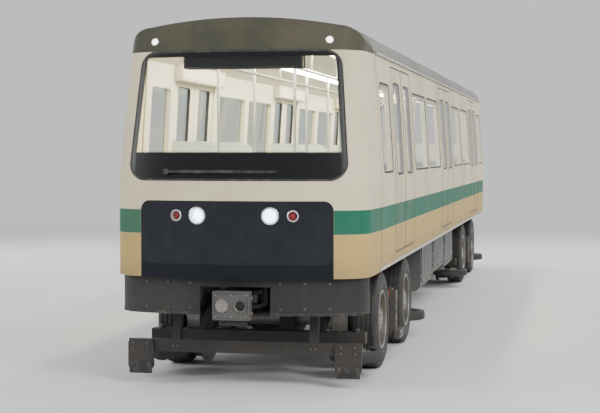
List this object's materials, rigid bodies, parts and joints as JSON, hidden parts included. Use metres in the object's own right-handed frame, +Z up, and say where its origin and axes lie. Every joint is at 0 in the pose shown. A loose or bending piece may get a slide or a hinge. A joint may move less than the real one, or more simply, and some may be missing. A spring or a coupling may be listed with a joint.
{
  "type": "metro car",
  "caption": "End car of a driverless rubber-tyred metro train: hollow passenger body with a large windscreen, plug doors and a rear gangway, on tyred bogies.",
  "frame": {"origin": "on the running surface, below the middle of the whole car's box", "axes": "+X to the front of the car, +Y to its left, +Z up"},
  "size_m": [15.38, 2.49, 3.47],
  "materials": {
    "white_paint": "satin",
    "dark_mask": "gloss",
    "grey_underframe": "matt",
    "roof_grey": "matt",
    "clear_glass": "clear",
    "lamp_glass": "clear",
    "black_rubber": "matt",
    "tyre_rubber": "matt",
    "steel": "satin",
    "seat_fabric": "woven",
    "floor_vinyl": "satin",
    "light_panel": "diffusing",
    "lining": "satin",
    "pole_steel": "brushed",
    "equipment_paint": "satin",
    "insulator": "satin"
  },
  "bodies": {
    "car_body": {"underframe": "grey_underframe", "bolsters": "grey_underframe", "draft_gear": "grey_underframe", "floor": "floor_vinyl", "side_wall_left": "white_paint", "side_wall_right": "white_paint", "roof_shell": "roof_grey", "roof_vents": "roof_grey", "front_mask": "white_paint", "windscreen": "clear_glass", "lamp_panel": "dark_mask", "headlamps": "lamp_glass", "tail_lamps": "lamp_glass", "wiper": "black_rubber", "front_skirt": "grey_underframe", "obstacle_guard": "grey_underframe", "front_console": "lining", "destination_display": "dark_mask", "rear_wall": "white_paint", "gangway_bellows": "black_rubber", "gangway_frame": "steel", "bridge_plate": "steel", "door_leaves_left": "white_paint", "door_leaves_right": "white_paint", "side_glass_left": "clear_glass", "side_glass_right": "clear_glass", "ceiling": "lining", "ceiling_lights": "light_panel", "seats": "seat_fabric", "door_screens": "lining", "grab_poles": "pole_steel", "equipment_cases": "equipment_paint", "air_tanks": "equipment_paint"},
    "bogie_front": {"bogie_frame_front": "grey_underframe", "axle_boxes_front": "steel", "suspension_front": "black_rubber", "collectors_front": "insulator"},
    "bogie_rear": {"bogie_frame_rear": "grey_underframe", "axle_boxes_rear": "steel", "suspension_rear": "black_rubber", "collectors_rear": "insulator"},
    "wheelset_1": {"axle_1": "steel", "tyres_1": "tyre_rubber"},
    "wheelset_2": {"axle_2": "steel", "tyres_2": "tyre_rubber"},
    "wheelset_3": {"axle_3": "steel", "tyres_3": "tyre_rubber"},
    "wheelset_4": {"axle_4": "steel", "tyres_4": "tyre_rubber"},
    "guide_front_1": {"guide_wheel_front_1": "tyre_rubber"},
    "guide_front_2": {"guide_wheel_front_2": "tyre_rubber"},
    "guide_front_3": {"guide_wheel_front_3": "tyre_rubber"},
    "guide_front_4": {"guide_wheel_front_4": "tyre_rubber"},
    "guide_rear_1": {"guide_wheel_rear_1": "tyre_rubber"},
    "guide_rear_2": {"guide_wheel_rear_2": "tyre_rubber"},
    "guide_rear_3": {"guide_wheel_rear_3": "tyre_rubber"},
    "guide_rear_4": {"guide_wheel_rear_4": "tyre_rubber"},
    "coupler": {"front_coupler": "steel"},
    "drawbar": {"rear_drawbar": "steel"}
  },
  "joints": [
    {"name": "bogie_front_yaw", "type": "hinge", "parent": "car_body", "child": "bogie_front", "pos_m": [4.75, 0, 0.74], "axis": [0, 0, 1], "range_deg": [-7, 7]},
    {"name": "bogie_rear_yaw", "type": "hinge", "parent": "car_body", "child": "bogie_rear", "pos_m": [-5.25, 0, 0.74], "axis": [0, 0, 1], "range_deg": [-7, 7]},
    {"name": "wheelset_1_roll", "type": "hinge", "parent": "bogie_front", "child": "wheelset_1", "pos_m": [5.75, 0, 0.49], "axis": [0, 1, 0], "continuous": true},
    {"name": "wheelset_2_roll", "type": "hinge", "parent": "bogie_front", "child": "wheelset_2", "pos_m": [3.75, 0, 0.49], "axis": [0, 1, 0], "continuous": true},
    {"name": "wheelset_3_roll", "type": "hinge", "parent": "bogie_rear", "child": "wheelset_3", "pos_m": [-4.25, 0, 0.49], "axis": [0, 1, 0], "continuous": true},
    {"name": "wheelset_4_roll", "type": "hinge", "parent": "bogie_rear", "child": "wheelset_4", "pos_m": [-6.25, 0, 0.49], "axis": [0, 1, 0], "continuous": true},
    {"name": "guide_front_1_roll", "type": "hinge", "parent": "bogie_front", "child": "guide_front_1", "pos_m": [6.54, 0.975, 0.232], "axis": [0, 0, 1], "continuous": true},
    {"name": "guide_front_2_roll", "type": "hinge", "parent": "bogie_front", "child": "guide_front_2", "pos_m": [6.54, -0.975, 0.232], "axis": [0, 0, 1], "continuous": true},
    {"name": "guide_front_3_roll", "type": "hinge", "parent": "bogie_front", "child": "guide_front_3", "pos_m": [2.96, 0.975, 0.232], "axis": [0, 0, 1], "continuous": true},
    {"name": "guide_front_4_roll", "type": "hinge", "parent": "bogie_front", "child": "guide_front_4", "pos_m": [2.96, -0.975, 0.232], "axis": [0, 0, 1], "continuous": true},
    {"name": "guide_rear_1_roll", "type": "hinge", "parent": "bogie_rear", "child": "guide_rear_1", "pos_m": [-3.46, 0.975, 0.232], "axis": [0, 0, 1], "continuous": true},
    {"name": "guide_rear_2_roll", "type": "hinge", "parent": "bogie_rear", "child": "guide_rear_2", "pos_m": [-3.46, -0.975, 0.232], "axis": [0, 0, 1], "continuous": true},
    {"name": "guide_rear_3_roll", "type": "hinge", "parent": "bogie_rear", "child": "guide_rear_3", "pos_m": [-7.04, 0.975, 0.232], "axis": [0, 0, 1], "continuous": true},
    {"name": "guide_rear_4_roll", "type": "hinge", "parent": "bogie_rear", "child": "guide_rear_4", "pos_m": [-7.04, -0.975, 0.232], "axis": [0, 0, 1], "continuous": true},
    {"name": "coupler_swing", "type": "hinge", "parent": "car_body", "child": "coupler", "pos_m": [6.98, 0, 0.8], "axis": [0, 0, 1], "range_deg": [-15, 15]},
    {"name": "drawbar_swing", "type": "hinge", "parent": "car_body", "child": "drawbar", "pos_m": [-7.08, 0, 0.8], "axis": [0, 0, 1], "range_deg": [-25, 25]}
  ]
}
